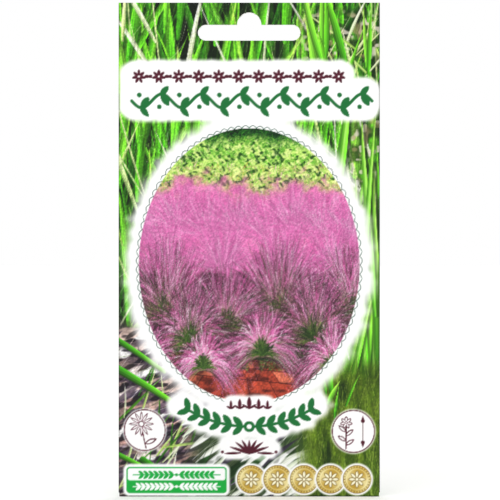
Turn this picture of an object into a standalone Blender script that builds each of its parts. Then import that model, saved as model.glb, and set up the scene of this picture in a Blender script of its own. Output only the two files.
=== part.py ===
"""A hanging seed packet: one folded paper blank with a euro slot, its glue lines, and the seed sachet inside.

Units are metres, +Z is up and the front panel faces -Y.
The origin is the top of the hang hole's hump, where a display peg carries the packet.
"""

import math
import random

import bmesh
import bpy

MM = 0.001

# The packet as it hangs, flat and closed.
WIDTH = 80.0 * MM
HEIGHT = 151.2 * MM
PAPER = 0.12 * MM
FLAP_HEIGHT = 12.0 * MM
FLAP_TAPER = 0.03
SEAM_HALF_LAP = 5.0 * MM
SEAM_RAMP = 4.0 * MM

# Folds, as radii of the paper's middle surface.
SIDE_FOLD = 0.16 * MM
LAYER_STEP = 0.24 * MM
BOTTOM_FOLD = (2 * SIDE_FOLD + 2 * LAYER_STEP) / 2
BACK_START = 1.2 * MM
FOLD_STEPS = 4
BOTTOM_FOLD_STEPS = 6

# How far the filled pouch swells each panel, and between which heights.
FRONT_SWELL = 0.90 * MM
BACK_SWELL = 0.70 * MM
SWELL_HALF_WIDTH = 38.5 * MM
SWELL_LOW = 11.0 * MM
SWELL_HIGH = 128.0 * MM
SWELL_RAMP = 22.0 * MM

# Euro slot, measured down from the top edge.
SLOT_WIDTH = 31.4 * MM
SLOT_TOP = 6.8 * MM
SLOT_BOTTOM = 11.6 * MM
HUMP_RADIUS = 3.7 * MM
HUMP_TOP = 3.0 * MM
SLOT_ARC_STEPS = 6
HANG_HEIGHT = HEIGHT - HUMP_TOP

# Glue lines.
GLUE_GAP = 0.03 * MM
SEAM_GLUE_HALF_WIDTH = 3.0 * MM
HEADER_GLUE_HALF_WIDTH = 36.0 * MM
HEADER_GLUE_LOW = 129.0 * MM
HEADER_GLUE_HIGH = 134.0 * MM
HEADER_GLUE_THICKNESS = 0.08 * MM
FLAP_GLUE_HALF_WIDTH = 34.0 * MM
FLAP_GLUE_LOW = 3.0 * MM
FLAP_GLUE_HIGH = 10.0 * MM

# Inner sachet of two heat-sealed films, and the seed in it.
FILM = 0.05 * MM
FILM_GAP = 0.05 * MM
SACHET_WIDTH = 50.0 * MM
SACHET_LOW = 17.0 * MM
SACHET_HIGH = 85.0 * MM
SACHET_SWELL = 0.50 * MM
SACHET_POWER = 6
SEED_COLUMNS = (-13.5 * MM, -4.5 * MM, 4.5 * MM, 13.5 * MM)
SEED_ROWS = (31.0 * MM, 40.0 * MM, 49.0 * MM)
SEED_JITTER = 0.35 * MM
SEED_SIDES = 8
SEED_PROFILE = (
    (0.0, 0.0),
    (0.20 * MM, 0.35 * MM),
    (0.32 * MM, 1.2 * MM),
    (0.30 * MM, 2.4 * MM),
    (0.15 * MM, 3.4 * MM),
    (0.06 * MM, 4.0 * MM),
    (0.05 * MM, 7.6 * MM),
    (0.0, 7.8 * MM),
)
SEED_LENGTH = SEED_PROFILE[-1][1]

# Where the blank has lines across it, in millimetres from the middle and from the bottom edge.
FRONT_LINES = (0, 8, 16, 23, 30, 36)
OUTER_BACK_LINES = (-36, -30, -23, -16, -9, -6, -3, 0, 3, 5)
INNER_BACK_LINES = (36, 30, 23, 16, 8, 3, 0, -3, -5)
HEIGHT_LINES = (6, 14, 20, 27, 35, 44, 54, 64, 74, 84, 94, 104, 112, 119, 125, 129, 134)

FLAT_HALF = WIDTH / 2 - SIDE_FOLD - PAPER / 2
FOLD_LENGTH = math.pi * SIDE_FOLD

PRINT_GREEN = (0.36, 0.62, 0.22, 1)
GLUE_TINT = (0.86, 0.82, 0.70, 1)
GLASSINE = (0.90, 0.89, 0.84, 1)
HUSK = (0.42, 0.26, 0.20, 1)


def clear_scene():
    for item in list(bpy.data.objects):
        bpy.data.objects.remove(item)


def new_collection(name):
    made = bpy.data.collections.new(name)
    bpy.context.scene.collection.children.link(made)
    return made


def new_material(name, colour, roughness, metallic=0.0):
    made = bpy.data.materials.new(name)
    made.use_nodes = True
    shader = made.node_tree.nodes["Principled BSDF"]
    shader.inputs["Base Color"].default_value = colour
    shader.inputs["Roughness"].default_value = roughness
    shader.inputs["Metallic"].default_value = metallic
    return made


def smooth_step(low, high, value):
    t = min(max((value - low) / (high - low), 0.0), 1.0)
    return t * t * (3 - 2 * t)


def swell(x, z):
    """How full the pouch is at this place, from 0 at its glued edges to 1 in the middle."""
    across = max(1 - abs(x / SWELL_HALF_WIDTH) ** 3, 0.0)
    up = smooth_step(SWELL_LOW, SWELL_LOW + SWELL_RAMP, z)
    down = 1 - smooth_step(SWELL_HIGH - SWELL_RAMP, SWELL_HIGH, z)
    return across * up * down


def front_y(x, z):
    return -SIDE_FOLD - FRONT_SWELL * swell(x, z)


def inner_back_y(x, z):
    return SIDE_FOLD + BACK_SWELL * swell(x, z)


def outer_back_y(x, z):
    """The left back panel, which climbs over the right one where they lap."""
    lap_start = -SEAM_HALF_LAP - 1.0 * MM
    return inner_back_y(x, z) + LAYER_STEP * smooth_step(lap_start - SEAM_RAMP + 1.0 * MM, lap_start, x)


def folded(u, v):
    """Where a point of the flat blank lies once it is folded. u runs across it, v up it from the bottom fold."""
    if v < 0:
        return folded_flap(u, v)
    z = v + BOTTOM_FOLD
    side = math.copysign(1.0, u)
    past = abs(u) - FLAT_HALF
    if past <= 0:
        return u, front_y(u, z), z
    if past < FOLD_LENGTH:
        turn = past / SIDE_FOLD
        x = side * (FLAT_HALF + SIDE_FOLD * math.sin(turn))
        return x, -SIDE_FOLD * math.cos(turn), z
    x = side * (FLAT_HALF - (past - FOLD_LENGTH))
    back = outer_back_y if side < 0 else inner_back_y
    return x, back(x, z), z


def folded_flap(u, v):
    """The bottom flap turns under the back panels and up behind them."""
    arc = math.pi * BOTTOM_FOLD
    turn = min(-v / BOTTOM_FOLD, math.pi)
    rise = max(-v - arc, 0.0)
    x = u * (1 - FLAP_TAPER * rise / FLAP_HEIGHT)
    y = -SIDE_FOLD + BOTTOM_FOLD * (1 - math.cos(turn))
    z = BOTTOM_FOLD * (1 - math.sin(turn)) + rise
    return x, y, z


def blank_lines():
    """The lines across and up the blank on which its grid has points."""
    half = sorted({line * MM for line in FRONT_LINES} | {FLAT_HALF})
    front = [-x for x in reversed(half) if x] + half
    fold = [FOLD_LENGTH * i / FOLD_STEPS for i in range(1, FOLD_STEPS + 1)]
    left = [-FLAT_HALF - step for step in fold]
    left += [-FLAT_HALF - FOLD_LENGTH - (x * MM + FLAT_HALF) for x in OUTER_BACK_LINES]
    right = [FLAT_HALF + step for step in fold]
    right += [FLAT_HALF + FOLD_LENGTH + (FLAT_HALF - x * MM) for x in INNER_BACK_LINES]
    across = sorted(left) + front + sorted(right)
    arc = math.pi * BOTTOM_FOLD
    flap = [-arc - FLAP_HEIGHT, -arc - FLAP_HEIGHT / 2]
    flap += [-arc * i / BOTTOM_FOLD_STEPS for i in range(BOTTOM_FOLD_STEPS, 0, -1)]
    body = [0.0, BACK_START - BOTTOM_FOLD] + [z * MM - BOTTOM_FOLD for z in HEIGHT_LINES]
    return across, flap + body + [HEIGHT - BOTTOM_FOLD]


def grid_on(across, up, place, keep=None):
    """A mesh grid with points on these lines, each moved to where place(u, v) says."""
    mesh = bpy.data.meshes.new("grid")
    bm = bmesh.new()
    bmesh.ops.create_grid(bm, x_segments=len(across) - 1, y_segments=len(up) - 1, size=0.5)
    for vert in bm.verts:
        column = round((vert.co.x + 0.5) * (len(across) - 1))
        row = round((vert.co.y + 0.5) * (len(up) - 1))
        vert.co = (across[column], up[row], 0.0)
    if keep:
        outside = [face for face in bm.faces if not keep(*face.calc_center_median()[:2])]
        bmesh.ops.delete(bm, geom=outside, context="FACES")
    for vert in bm.verts:
        x, y, z = place(vert.co.x, vert.co.y)
        vert.co = (x, y, z - HANG_HEIGHT)
    bmesh.ops.recalc_face_normals(bm, faces=bm.faces)
    bm.to_mesh(mesh)
    bm.free()
    return mesh


def on_blank(u, v):
    """The blank is cut away beside its bottom flap and below its back panels."""
    if v < BACK_START - BOTTOM_FOLD:
        return abs(u) < FLAT_HALF
    return True


def add_object(name, mesh, material, collection):
    made = bpy.data.objects.new(name, mesh)
    collection.objects.link(made)
    made.data.materials.append(material)
    return made


def thicken(obj, thickness):
    solid = obj.modifiers.new("thickness", "SOLIDIFY")
    solid.thickness = thickness
    solid.offset = 0
    solid.use_even_offset = True
    return obj


def slot_outline():
    """The euro slot: a round-ended slot with a half-round hump over its middle."""
    top = HEIGHT - SLOT_TOP - HANG_HEIGHT
    bottom = HEIGHT - SLOT_BOTTOM - HANG_HEIGHT
    radius = (top - bottom) / 2
    middle = (top + bottom) / 2
    straight = SLOT_WIDTH / 2 - radius
    steps = range(SLOT_ARC_STEPS + 1)
    right = [math.pi * (-0.5 + i / SLOT_ARC_STEPS) for i in steps]
    left = [math.pi * (0.5 + i / SLOT_ARC_STEPS) for i in steps]
    hump_middle = -HUMP_RADIUS
    rise = math.asin((top - hump_middle) / HUMP_RADIUS)
    hump_steps = 2 * SLOT_ARC_STEPS
    hump = [rise + (math.pi - 2 * rise) * i / hump_steps for i in range(hump_steps + 1)]
    points = [(straight + radius * math.cos(a), middle + radius * math.sin(a)) for a in right]
    points += [(HUMP_RADIUS * math.cos(a), hump_middle + HUMP_RADIUS * math.sin(a)) for a in hump]
    points += [(-straight + radius * math.cos(a), middle + radius * math.sin(a)) for a in left]
    return points


def make_slot_cutter(collection):
    curve = bpy.data.curves.new("slot_outline", "CURVE")
    curve.dimensions = "2D"
    curve.fill_mode = "BOTH"
    curve.extrude = 3.0 * MM
    outline = slot_outline()
    spline = curve.splines.new("POLY")
    spline.points.add(len(outline) - 1)
    for point, (x, z) in zip(spline.points, outline):
        point.co = (x, z, 0.0, 1.0)
    spline.use_cyclic_u = True
    drawn = bpy.data.objects.new("slot_outline", curve)
    drawn.rotation_euler.x = math.pi / 2
    collection.objects.link(drawn)
    bpy.context.view_layer.update()
    evaluated = drawn.evaluated_get(bpy.context.evaluated_depsgraph_get())
    mesh = bpy.data.meshes.new_from_object(evaluated)
    bm = bmesh.new()
    bm.from_mesh(mesh)
    bmesh.ops.remove_doubles(bm, verts=bm.verts, dist=0.001 * MM)
    bmesh.ops.recalc_face_normals(bm, faces=bm.faces)
    bm.to_mesh(mesh)
    bm.free()
    cutter = bpy.data.objects.new("slot_cutter", mesh)
    cutter.matrix_world = drawn.matrix_world
    collection.objects.link(cutter)
    bpy.data.objects.remove(drawn)
    cutter.hide_render = True
    cutter.display_type = "WIRE"
    return cutter


def make_sheet(paper, cutter, collection):
    across, up = blank_lines()
    sheet = add_object("packet_sheet", grid_on(across, up, folded, on_blank), paper, collection)
    thicken(sheet, PAPER)
    cut = sheet.modifiers.new("hang_slot", "BOOLEAN")
    cut.operation = "DIFFERENCE"
    cut.solver = "EXACT"
    cut.object = cutter
    return sheet


def make_seam_glue(glue, collection):
    """A bead under the lap, which follows the swelling of the two back panels."""
    across = [-SEAM_GLUE_HALF_WIDTH, 0.0, SEAM_GLUE_HALF_WIDTH]
    up = [z * MM for z in HEIGHT_LINES if SWELL_LOW < z * MM <= HEADER_GLUE_LOW]

    def place(x, z):
        return x, inner_back_y(x, z) + LAYER_STEP / 2, z

    bead = add_object("seam_glue", grid_on(across, up, place), glue, collection)
    return thicken(bead, LAYER_STEP - PAPER - 2 * GLUE_GAP)


def make_glue_strip(name, half_width, low, high, y, thickness, glue, collection):
    """A flat strip of dried glue between two layers of paper."""

    def place(x, z):
        return x, y, z

    strip = add_object(name, grid_on([-half_width, half_width], [low, high], place), glue, collection)
    return thicken(strip, thickness)


def sachet_swell(x, z):
    """The sachet fills the way the packet round it does, and closes to nothing at its sealed rim."""
    middle = (SACHET_LOW + SACHET_HIGH) / 2
    half_height = (SACHET_HIGH - SACHET_LOW) / 2
    across = 1 - abs(2 * x / SACHET_WIDTH) ** SACHET_POWER
    up = 1 - abs((z - middle) / half_height) ** SACHET_POWER
    return max(across * up, 0.0) * swell(x, z)


def make_sachet_film(name, side, glassine, collection):
    """One of the two films, which swells off the other one inside the sealed rim."""
    shares = (-1, -0.94, -0.86, -0.74, -0.5, 0, 0.5, 0.74, 0.86, 0.94, 1)
    middle = (SACHET_LOW + SACHET_HIGH) / 2
    half_height = (SACHET_HIGH - SACHET_LOW) / 2
    across = [SACHET_WIDTH / 2 * share for share in shares]
    up = [middle + half_height * share for share in shares]
    rest = (FILM + FILM_GAP) / 2

    def place(x, z):
        return x, side * (rest + SACHET_SWELL * sachet_swell(x, z)), z

    film = add_object(name, grid_on(across, up, place), glassine, collection)
    return thicken(film, FILM)


def seed_mesh():
    """A narrow husk that runs out into its bristle, as a half profile for a Screw modifier."""
    mesh = bpy.data.meshes.new("seed_profile")
    points = [(radius, 0.0, SEED_LENGTH / 2 - along) for radius, along in SEED_PROFILE]
    edges = [(i, i + 1) for i in range(len(points) - 1)]
    mesh.from_pydata(points, edges, [])
    return mesh


def make_seeds(husk, collection):
    """Loose seed in one layer in the lower half of the sachet, each in a cell of its own."""
    draw = random.Random(7)
    mesh = seed_mesh()
    cells = [(x, z) for z in SEED_ROWS for x in SEED_COLUMNS]
    for number, (x, z) in enumerate(cells, start=1):
        seed = bpy.data.objects.new(f"seed_{number:02d}", mesh)
        collection.objects.link(seed)
        x += draw.uniform(-SEED_JITTER, SEED_JITTER)
        z += draw.uniform(-SEED_JITTER, SEED_JITTER)
        seed.location = (x, 0.0, z - HANG_HEIGHT)
        seed.rotation_euler.y = draw.uniform(0, 2 * math.pi)
        turn = seed.modifiers.new("turned", "SCREW")
        turn.steps = SEED_SIDES
        turn.render_steps = SEED_SIDES
        turn.use_merge_vertices = True
        turn.merge_threshold = 0.001 * MM
        turn.use_smooth_shade = False
    mesh.materials.append(husk)


def main():
    clear_scene()
    packet = new_collection("seed_packet")
    helpers = new_collection("cutters")
    paper = new_material("printed_paper", PRINT_GREEN, 0.42)
    glue = new_material("dried_glue", GLUE_TINT, 0.35)
    glassine = new_material("glassine", GLASSINE, 0.3)
    husk = new_material("seed_husk", HUSK, 0.7)
    make_sheet(paper, make_slot_cutter(helpers), packet)
    make_seam_glue(glue, packet)
    make_glue_strip(
        "header_glue", HEADER_GLUE_HALF_WIDTH, HEADER_GLUE_LOW, HEADER_GLUE_HIGH,
        0.0, HEADER_GLUE_THICKNESS, glue, packet,
    )
    flap_inside = -SIDE_FOLD + 2 * BOTTOM_FOLD - PAPER / 2
    flap_glue_thickness = LAYER_STEP - PAPER - 2 * GLUE_GAP
    make_glue_strip(
        "flap_glue", FLAP_GLUE_HALF_WIDTH, FLAP_GLUE_LOW, FLAP_GLUE_HIGH,
        flap_inside - GLUE_GAP - flap_glue_thickness / 2, flap_glue_thickness, glue, packet,
    )
    make_sachet_film("sachet_front_film", -1, glassine, packet)
    make_sachet_film("sachet_back_film", 1, glassine, packet)
    make_seeds(husk, packet)


main()
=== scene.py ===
# %% [markdown]
# # A hanging seed packet
#
# This lesson dresses a small paper seed packet: one printed sheet folded into a flat pouch, with a hang slot
# cut through its header. The solid model already says where each layer of paper, glue and film lies.
# Here the printed picture is painted in code, laid on the paper, and lit as on a white shop backdrop.

# %% Load the fixed frame
import math

import bmesh
import bpy
import numpy as np
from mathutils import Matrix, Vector


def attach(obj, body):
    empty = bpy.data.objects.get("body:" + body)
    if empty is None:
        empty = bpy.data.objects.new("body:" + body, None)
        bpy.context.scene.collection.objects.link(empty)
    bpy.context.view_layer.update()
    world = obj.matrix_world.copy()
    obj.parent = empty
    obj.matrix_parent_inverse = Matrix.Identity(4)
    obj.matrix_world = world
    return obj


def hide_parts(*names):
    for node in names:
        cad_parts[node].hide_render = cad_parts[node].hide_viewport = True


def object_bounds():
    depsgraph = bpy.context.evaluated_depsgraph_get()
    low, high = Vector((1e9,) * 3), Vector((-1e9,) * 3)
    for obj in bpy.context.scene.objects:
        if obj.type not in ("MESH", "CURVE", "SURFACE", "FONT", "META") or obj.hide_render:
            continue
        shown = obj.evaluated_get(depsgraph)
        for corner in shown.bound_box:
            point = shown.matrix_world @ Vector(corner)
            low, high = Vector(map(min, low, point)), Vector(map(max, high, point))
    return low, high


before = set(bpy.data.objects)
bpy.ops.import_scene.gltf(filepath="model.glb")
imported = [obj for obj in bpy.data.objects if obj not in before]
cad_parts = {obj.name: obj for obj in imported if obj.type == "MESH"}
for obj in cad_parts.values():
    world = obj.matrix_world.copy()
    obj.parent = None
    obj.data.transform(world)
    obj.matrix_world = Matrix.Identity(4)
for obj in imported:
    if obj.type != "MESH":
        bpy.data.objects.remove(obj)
cad_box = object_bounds()
print("CAD nodes:", len(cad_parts), "box:", [[round(v, 4) for v in corner] for corner in cad_box])

# %% [markdown]
# ## Sizes of the packet
#
# The packet is 80 mm wide. These are the same lengths as in the solid model, because the finer paper made
# here has to lie exactly where the solid one does. Distances on the print are given in millimetres, with
# x to the right of the middle and d down from the top edge, as a print designer measures a page.

# %% Sizes
MM = 0.001
WIDTH, HEIGHT = 80.0, 151.2
PAPER, INK_FILM = 0.12, 0.012
SIDE_FOLD, LAYER_STEP = 0.16, 0.24
BOTTOM_FOLD = SIDE_FOLD + LAYER_STEP
BACK_START = 1.2
FLAP_HEIGHT, FLAP_TAPER = 12.0, 0.03
SEAM_HALF_LAP = 5.0
SEAM_RAMP_START, SEAM_RAMP_END = -9.0, -6.0
FRONT_SWELL, BACK_SWELL = 0.90, 0.70
SWELL_HALF_WIDTH = 38.5
SWELL_LOW, SWELL_HIGH, SWELL_RAMP = 11.0, 128.0, 22.0
SLOT_WIDTH, SLOT_TOP, SLOT_BOTTOM = 31.4, 6.8, 11.6
SLOT_RADIUS = (SLOT_BOTTOM - SLOT_TOP) / 2
SLOT_STRAIGHT = SLOT_WIDTH / 2 - SLOT_RADIUS
SLOT_MIDDLE = HEIGHT - (SLOT_TOP + SLOT_BOTTOM) / 2
HUMP_RADIUS, HUMP_TOP = 3.7, 3.0
HANG_HEIGHT = HEIGHT - HUMP_TOP
FLAT_HALF = WIDTH / 2 - SIDE_FOLD - PAPER / 2
FOLD_LENGTH = math.pi * SIDE_FOLD
FLAP_ARC = math.pi * BOTTOM_FOLD
FOLD_STEPS = 8
BACK_U = FLAT_HALF + FOLD_LENGTH
SEAM_U = BACK_U + FLAT_HALF
BACK_V = BACK_START - BOTTOM_FOLD
FULL_V = HEIGHT - BOTTOM_FOLD
HALF_V = FULL_V / 2
print("packet", WIDTH, "x", HEIGHT, "mm, paper", PAPER, "mm")

# %% [markdown]
# ## The folded sheet as a function
#
# Every point of the flat blank has an address (u, v): u across it and v up from the bottom fold. The back
# panels begin at BACK_U on each side and lap over SEAM_U, and they run from BACK_V up to FULL_V. One
# function says where an address lies once the sheet is folded. The paper and its print both use it, so they
# can't drift apart. The small ripple is the slackness of paper that has been glued and filled.


# %% Folding the blank
def smooth_step(low, high, value):
    t = np.clip((value - low) / (high - low), 0.0, 1.0)
    return t * t * (3 - 2 * t)


def swell(x, z):
    across = np.maximum(1 - np.abs(x / SWELL_HALF_WIDTH) ** 3, 0.0)
    up = smooth_step(SWELL_LOW, SWELL_LOW + SWELL_RAMP, z)
    down = 1 - smooth_step(SWELL_HIGH - SWELL_RAMP, SWELL_HIGH, z)
    return across * up * down


def ripple(x, z):
    long_wave = np.sin(x / 9.0 + z / 23.0) * np.sin(z / 17.0 + 1.3)
    short_wave = np.sin(x / 4.1 - z / 11.0 + 0.7) * np.sin(z / 7.3)
    return 0.045 * long_wave + 0.018 * short_wave


def front_y(x, z):
    return -SIDE_FOLD - swell(x, z) * (FRONT_SWELL + ripple(x, z))


def inner_back_y(x, z):
    return SIDE_FOLD + swell(x, z) * (BACK_SWELL + ripple(z / 2, x + z))


def outer_back_y(x, z):
    return inner_back_y(x, z) + LAYER_STEP * smooth_step(SEAM_RAMP_START, SEAM_RAMP_END, x)

print("front stands at y =", round(float(front_y(0.0, HEIGHT / 2)), 2), "mm in the middle")


# %% The fold and the slot
def folded(u, v):
    """Where flat addresses u, v (arrays, mm) lie in the folded packet, as x, y, z arrays in mm."""
    side = np.where(u < 0, -1.0, 1.0)
    past = np.abs(u) - FLAT_HALF
    z = v + BOTTOM_FOLD
    turn = np.clip(past / SIDE_FOLD, 0.0, math.pi)
    x_fold = side * (FLAT_HALF + SIDE_FOLD * np.sin(turn))
    x_back = side * (FLAT_HALF - (past - FOLD_LENGTH))
    back = np.where(side < 0, outer_back_y(x_back, z), inner_back_y(x_back, z))
    x = np.where(past <= 0, u, np.where(past < FOLD_LENGTH, x_fold, x_back))
    y = np.where(past <= 0, front_y(u, z), np.where(past < FOLD_LENGTH, -SIDE_FOLD * np.cos(turn), back))
    bottom_turn = np.clip(-v / BOTTOM_FOLD, 0.0, math.pi)
    rise = np.maximum(-v - FLAP_ARC, 0.0)
    on_flap = v < 0
    x = np.where(on_flap, u * (1 - FLAP_TAPER * rise / FLAP_HEIGHT), x)
    y = np.where(on_flap, -SIDE_FOLD + BOTTOM_FOLD * (1 - np.cos(bottom_turn)), y)
    z = np.where(on_flap, BOTTOM_FOLD * (1 - np.sin(bottom_turn)) + rise, z)
    return x, y, z


def folded_outside(u, v, lift):
    """The same place, lifted off the middle of the paper along its outward normal."""
    step = 0.004
    here = np.stack(folded(u, v), -1)
    du = np.stack(folded(u + step, v), -1) - np.stack(folded(u - step, v), -1)
    dv = np.stack(folded(u, v + step), -1) - np.stack(folded(u, v - step), -1)
    normal = np.cross(du, dv)
    normal /= np.linalg.norm(normal, axis=-1, keepdims=True)
    return here + normal * lift


def slot_distance(x, z):
    """Distance in mm from the edge of the euro slot, negative inside the hole."""
    over = np.maximum(np.abs(x) - SLOT_STRAIGHT, 0.0)
    bar = np.hypot(over, z - SLOT_MIDDLE) - SLOT_RADIUS
    hump = np.hypot(x, z - (HANG_HEIGHT - HUMP_RADIUS)) - HUMP_RADIUS
    return np.minimum(bar, np.where(z > SLOT_MIDDLE, hump, bar))


print("blank:", round(2 * (SEAM_U + SEAM_HALF_LAP), 1), "mm across")

# %% [markdown]
# ## Colour
#
# A printer's colours are given as sRGB hex values. Blender mixes light in linear values, so one function
# turns them. The page itself is painted in sRGB, where a half-way mix looks half-way to the eye, and turned
# to linear once at the end.


# %% Colour helpers
def to_linear(values):
    values = np.asarray(values, dtype=float)
    return np.where(values <= 0.04045, values / 12.92, ((values + 0.055) / 1.055) ** 2.4)


def ink(code):
    """A hex colour as three values from 0 to 1; one that is already mixed comes back as it is."""
    if isinstance(code, str):
        return np.array([int(code[i : i + 2], 16) / 255 for i in (1, 3, 5)])
    return code


def linear_hex(code):
    return (*to_linear(ink(code)), 1.0)


print("leaf ink in linear:", np.round(linear_hex("#5DB82A"), 3))

# %% [markdown]
# ## A page to paint on
#
# The print is a painting, not a photograph, so the page is an array that starts empty and takes brush
# strokes. Two brushes are enough. The first draws one tapered stroke, lit on one side, which makes blades,
# stems and leaves. The second sprays thousands of fine dots at once, which makes hair-thin strands and haze.
# Eight dots to the millimetre is finer than the finished picture shows.

# %% The page and random clouds
DOTS = 8
PAGE_SHAPE = (int(round(HEIGHT * DOTS)), int(WIDTH * DOTS))
PAGE_X, PAGE_D = np.meshgrid(
    (np.arange(PAGE_SHAPE[1]) + 0.5) / DOTS - WIDTH / 2, (np.arange(PAGE_SHAPE[0]) + 0.5) / DOTS
)


def new_page(code):
    return np.tile(ink(code), (*PAGE_SHAPE, 1))


def blend(grid, i, j, fx, fy):
    """A value between the four neighbours at column i and row j of a grid."""
    top = grid[j, i] * (1 - fx) + grid[j, i + 1] * fx
    low = grid[j + 1, i] * (1 - fx) + grid[j + 1, i + 1] * fx
    return top * (1 - fy) + low * fy


def cloud(rng, cell, cell_down=None, slope=0.0):
    """Smooth random values from 0 to 1, with lumps cell mm across and cell_down mm tall, on a slope."""
    x = (PAGE_X + slope * PAGE_D) / cell
    x = x - x.min()
    y = PAGE_D / (cell_down or cell)
    grid = rng.random((int(y.max()) + 3, int(x.max()) + 3))
    i, j = x.astype(int), y.astype(int)
    return blend(grid, i, j, smooth_step(0, 1, x - i), smooth_step(0, 1, y - j))


def wash(page, colour, cover):
    """Lay one colour over the page where cover, from 0 to 1, says."""
    page += (ink(colour) - page) * np.clip(cover, 0, 1)[..., None]


def fill(page, colour, distance, cover=1.0):
    """Lay a colour or another page inside a shape, with a clean edge where the distance from it is zero."""
    wash(page, colour, cover * np.clip(0.5 - distance * DOTS, 0, 1))


def dapple(page, rng, cover, colour, low, high, *cell):
    """A wash in random patches, which begin where a cloud passes low and are full where it passes high."""
    wash(page, colour, cover * smooth_step(low, high, cloud(rng, *cell)))


def grain(page, rng, *layers, where=1.0):
    """Make the page lighter and darker at random; a layer is an amount and the size of its cloud."""
    change = sum(amount * (cloud(rng, *cell) - 0.5) for amount, *cell in layers)
    page *= (1 + where * change)[..., None]


print("page:", PAGE_SHAPE[1], "x", PAGE_SHAPE[0], "dots")


# %% The two brushes
def stroke(page, points, half_widths, root, tip=None, lit=0.0, opacity=1.0, soft=1.0, veins=0.0):
    """One tapered stroke along points, from the root colour to the tip colour, lighter along one side."""
    root = ink(root)
    tip = root if tip is None else ink(tip)
    dots = (np.asarray(points, dtype=float) + (WIDTH / 2, 0)) * DOTS
    halves = np.broadcast_to(half_widths, len(dots)) * DOTS
    pad = halves.max() + soft + 1
    low = np.maximum((dots.min(0) - pad).astype(int), 0)
    high = np.minimum((dots.max(0) + pad).astype(int) + 1, PAGE_SHAPE[::-1])
    if (low >= high).any():
        return
    x = np.arange(low[0], high[0])[None, :] + 0.5
    y = np.arange(low[1], high[1])[:, None] + 0.5
    shape = (high[1] - low[1], high[0] - low[0])
    nearest, side, along = np.full(shape, 1e9), np.zeros(shape), np.zeros(shape)
    for k in range(len(dots) - 1):
        ax, ay = dots[k]
        bx, by = dots[k + 1] - dots[k]
        length = math.hypot(bx, by)
        if length < 1e-6:
            continue
        t = np.clip(((x - ax) * bx + (y - ay) * by) / length**2, 0, 1)
        dx, dy = x - ax - t * bx, y - ay - t * by
        half = halves[k] + (halves[k + 1] - halves[k]) * t
        gap = np.hypot(dx, dy) - half
        closer = gap < nearest
        nearest = np.where(closer, gap, nearest)
        side = np.where(closer, (bx * dy - by * dx) / (length * np.maximum(half, 0.6)), side)
        along = np.where(closer, (k + t) / (len(dots) - 1), along)
    cover = np.clip(0.5 - nearest / soft, 0, 1) * opacity
    side = np.clip(side, -1, 1)
    shading = 1 + lit * side + veins * np.sin(11 * side)
    colour = (root + (tip - root) * along[..., None]) * shading[..., None]
    part = page[low[1] : high[1], low[0] : high[0]]
    part += (np.clip(colour, 0, 1) - part) * cover[..., None]


def spray(page, x, d, colours, weight):
    """Thousands of soft dots at once; where many fall together they build up."""
    px = (np.ravel(x) + WIDTH / 2) * DOTS - 0.5
    py = np.ravel(d) * DOTS - 0.5
    colours = np.broadcast_to(ink(colours), (*np.shape(x), 3)).reshape(-1, 3)
    weight = np.broadcast_to(weight, np.shape(x)).ravel()
    i, j = np.floor(px).astype(int), np.floor(py).astype(int)
    inside = (i >= 0) & (j >= 0) & (i < PAGE_SHAPE[1] - 1) & (j < PAGE_SHAPE[0] - 1)
    if not inside.any():
        return
    i, j, colours, weight = i[inside], j[inside], colours[inside], weight[inside]
    fx, fy = px[inside] - i, py[inside] - j
    left, top = i.min(), j.min()
    wide, tall = i.max() - left + 2, j.max() - top + 2
    total, mixed = np.zeros(wide * tall), np.zeros((wide * tall, 3))
    for down, share_down in ((0, 1 - fy), (1, fy)):
        for across, share_across in ((0, 1 - fx), (1, fx)):
            place = (j - top + down) * wide + i - left + across
            amount = share_across * share_down * weight
            total += np.bincount(place, amount, wide * tall)
            for channel in range(3):
                mixed[:, channel] += np.bincount(place, amount * colours[:, channel], wide * tall)
    cover = (1 - np.exp(-total)).reshape(tall, wide)[..., None]
    colour = (mixed / np.maximum(total, 1e-9)[:, None]).reshape(tall, wide, 3)
    part = page[top : top + tall, left : left + wide]
    part += (colour - part) * cover


print("brushes: stroke and spray")

# %% [markdown]
# ## Grass blades
#
# The ground of the print is a close-up of grass: long blades crossing in front of deep shade. A blade is
# one tapered stroke on a bent line, darker at its root. Drawing the dark ones first and the bright ones last
# gives the depth that a lawn has when it is seen from the side.


# %% Blades
def blade_line(root, length, lean_deg, bend, steps=9):
    """Points along a bent line that starts at root and leans from upright."""
    t = np.linspace(0, 1, steps)
    lean = math.radians(lean_deg)
    x = root[0] + length * (math.sin(lean) * t + bend * t * t)
    d = root[1] - length * (math.cos(lean) * t - abs(bend) * 0.4 * t * t)
    return np.stack([x, d], -1)


def blade_bed(page, rng, count, zone, length, lean, half_width, colours, lit=0.25, opacity=1.0):
    """Many blades whose roots lie in the zone (x low, x high, d low, d high)."""
    t = np.linspace(0, 1, 9)
    taper = (0.55 + 0.6 * np.sin(math.pi * np.minimum(t * 1.1, 1) ** 0.8)) * (1 - t**3)
    for _ in range(count):
        root = (rng.uniform(*zone[:2]), rng.uniform(*zone[2:]))
        reach, angle, half = rng.uniform(*length), rng.normal(*lean), rng.uniform(*half_width)
        line = blade_line(root, reach, angle, rng.normal(0, 0.10))
        root_ink, tip_ink = colours[rng.integers(len(colours))]
        lit_side = lit * rng.choice([-1, 1])
        stroke(page, line, half * taper + 0.03, root_ink, tip_ink, lit_side, opacity, 1.0, 0.10)


def strewn(rng, count, zone, length, lean):
    """Starts in the zone, angles and lengths of many fine lines, each as a column."""
    x = rng.uniform(*zone[:2], (count, 1))
    d = rng.uniform(*zone[2:], (count, 1))
    angle = np.radians(rng.normal(*lean, (count, 1)))
    return x, d, angle, rng.uniform(*length, (count, 1))


def picked(rng, tones, count):
    """One of the tones, given as a string of hex colours, for each of count lines."""
    inks = np.stack([ink(tone) for tone in tones.split()])
    return inks[rng.integers(len(inks), size=count)][:, None, :]


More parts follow.
